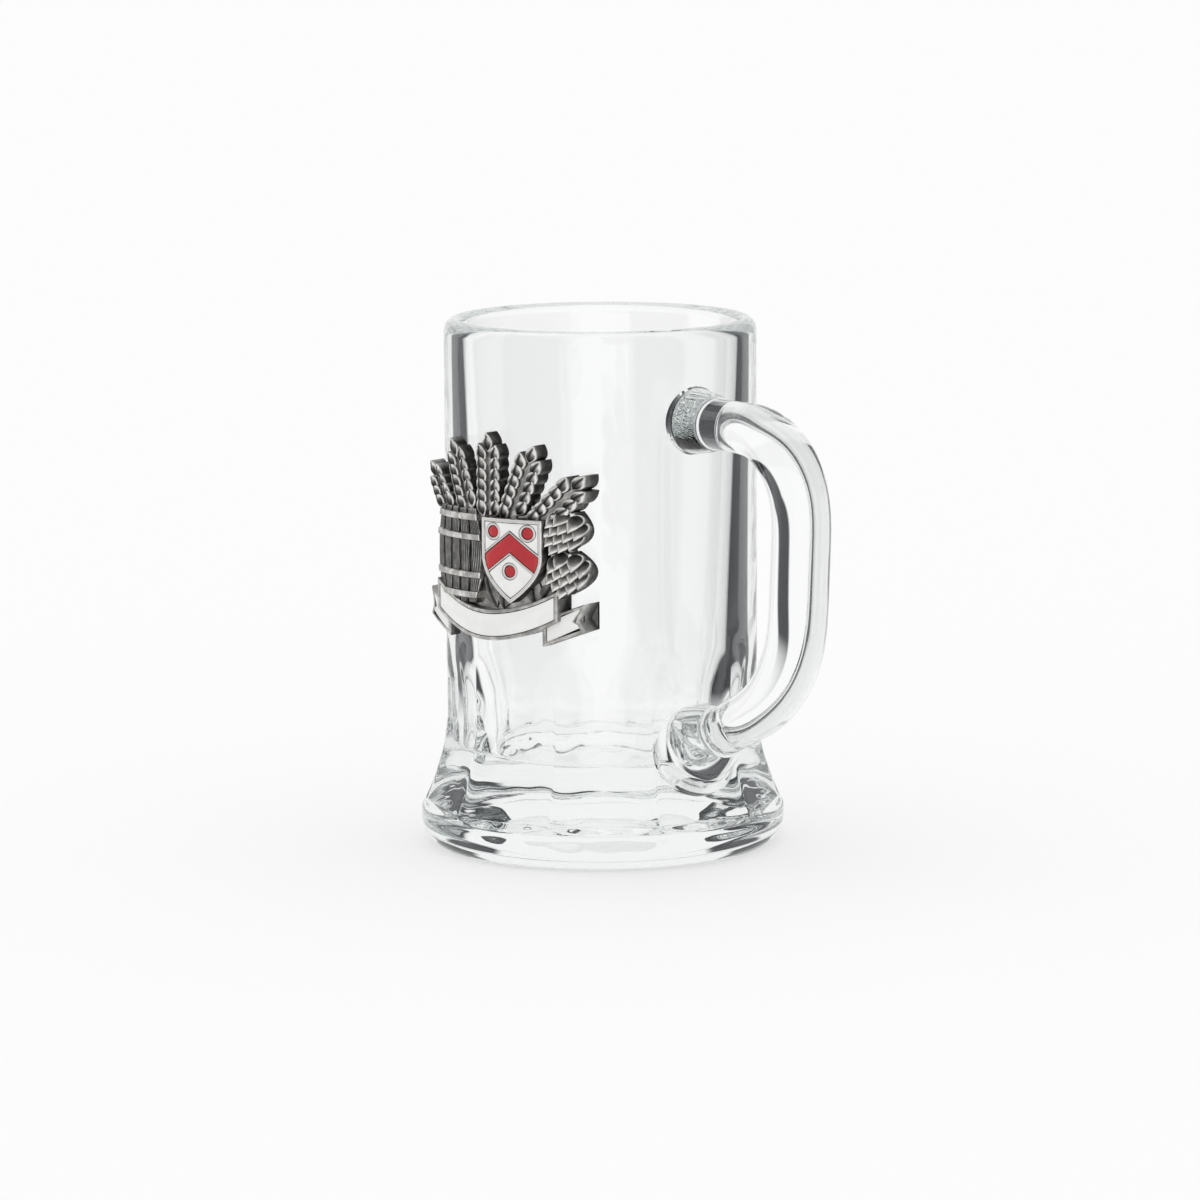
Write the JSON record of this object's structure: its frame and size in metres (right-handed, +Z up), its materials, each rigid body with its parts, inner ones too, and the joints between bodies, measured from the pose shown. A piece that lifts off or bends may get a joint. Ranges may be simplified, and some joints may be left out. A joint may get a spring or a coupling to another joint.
{
  "type": "mini beer mug",
  "caption": "Small thick-walled pressed-glass beer mug with a flared, panelled foot, a round glass rod handle and a cast relief badge with enamelled shield and ribbon.",
  "frame": {"origin": "on the table, under the middle of the bounding box of the mug and its handle", "axes": "+Z up along the mug's axis, +X from the mug towards its handle, -Y towards the side that carries the badge"},
  "size_m": [0.0706, 0.0482, 0.07],
  "materials": {
    "glass": "fire-polished gloss clear pressed glass with a faint grey-green tint",
    "pewter": "antiqued cast pewter: satin blackened hollows with burnished, polished edges",
    "white_enamel": "gloss white soft enamel",
    "red_enamel": "gloss red soft enamel",
    "adhesive": "matte cured clear adhesive"
  },
  "bodies": {
    "root": {"mug_body": "glass", "handle": "glass", "badge_casting": "pewter", "badge_adhesive": "adhesive", "shield_field_upper": "white_enamel", "shield_field_lower": "white_enamel", "shield_chevron": "red_enamel", "shield_roundel_left": "red_enamel", "shield_roundel_right": "red_enamel", "shield_roundel_base": "red_enamel", "ribbon_enamel": "white_enamel", "ribbon_tail_enamel_left": "white_enamel", "ribbon_tail_enamel_right": "white_enamel"}
  },
  "joints": []
}
